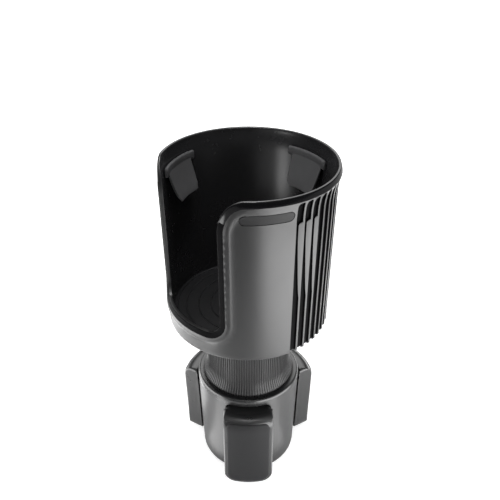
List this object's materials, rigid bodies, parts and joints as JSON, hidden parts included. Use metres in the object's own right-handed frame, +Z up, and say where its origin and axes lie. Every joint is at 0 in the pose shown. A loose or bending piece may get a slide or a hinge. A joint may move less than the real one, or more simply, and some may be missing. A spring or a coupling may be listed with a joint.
{
  "type": "car cup holder",
  "caption": "Two-stage car cup holder: a wide cup with a handle slot and rubber tabs turns on a tapered base to push out three padded gripping arms",
  "frame": {"origin": "middle of the base's flat underside, on the turning axis", "axes": "+Z up along the turning axis, -Y towards the handle slot, +X to the right when looking at the slot"},
  "size_m": [0.1096, 0.1071, 0.2316],
  "materials": {
    "cup_plastic": "dark grey satin moulded plastic",
    "base_plastic": "dark grey satin moulded plastic",
    "arm_plastic": "dark grey satin moulded plastic",
    "neck_plastic": "dark knurled plastic",
    "deck_plastic": "plain dark plastic",
    "disc_plastic": "pale slippery plastic",
    "tab_rubber": "soft matte rubber",
    "pad_rubber": "soft matte rubber",
    "mat_rubber": "soft matte rubber with raised rings",
    "screw_steel": "zinc-plated steel",
    "pin_steel": "ground steel",
    "sleeve_brass": "turned brass"
  },
  "bodies": {
    "base": {"base_shell": "base_plastic", "guide_deck": "deck_plastic", "deck_screws": "screw_steel", "pivot_bolt": "screw_steel", "pivot_washer": "screw_steel", "pivot_sleeve": "sleeve_brass", "pivot_nut": "screw_steel"},
    "cup": {"cup_body": "cup_plastic", "grip_tab_1": "tab_rubber", "grip_tab_2": "tab_rubber", "grip_tab_3": "tab_rubber", "cup_mat": "mat_rubber", "cup_screws": "screw_steel", "twist_neck": "neck_plastic", "spiral_disc": "disc_plastic", "disc_screws": "screw_steel"},
    "arm_a": {"arm_1": "arm_plastic", "arm_pad_1": "pad_rubber", "follower_pin_1": "pin_steel"},
    "arm_b": {"arm_2": "arm_plastic", "arm_pad_2": "pad_rubber", "follower_pin_2": "pin_steel"},
    "arm_c": {"arm_3": "arm_plastic", "arm_pad_3": "pad_rubber", "follower_pin_3": "pin_steel"}
  },
  "joints": [
    {"name": "cup_twist", "type": "hinge", "parent": "base", "child": "cup", "pos_m": [0, 0, 0.07], "axis": [0, 0, 1], "range_deg": [0, 115]},
    {"name": "arm_a_slide", "type": "slide", "parent": "base", "child": "arm_a", "axis": [0.788, -0.6157, 0], "range_m": [0, 0.0115]},
    {"name": "arm_b_slide", "type": "slide", "parent": "base", "child": "arm_b", "axis": [0.1392, 0.9903, 0], "range_m": [0, 0.0115]},
    {"name": "arm_c_slide", "type": "slide", "parent": "base", "child": "arm_c", "axis": [-0.9272, -0.3746, 0], "range_m": [0, 0.0115]}
  ],
  "couplings": [
    {"joint": "arm_a_slide", "follows": "cup_twist", "m_per_rad": 0.0057296},
    {"joint": "arm_b_slide", "follows": "cup_twist", "m_per_rad": 0.0057296},
    {"joint": "arm_c_slide", "follows": "cup_twist", "m_per_rad": 0.0057296}
  ]
}
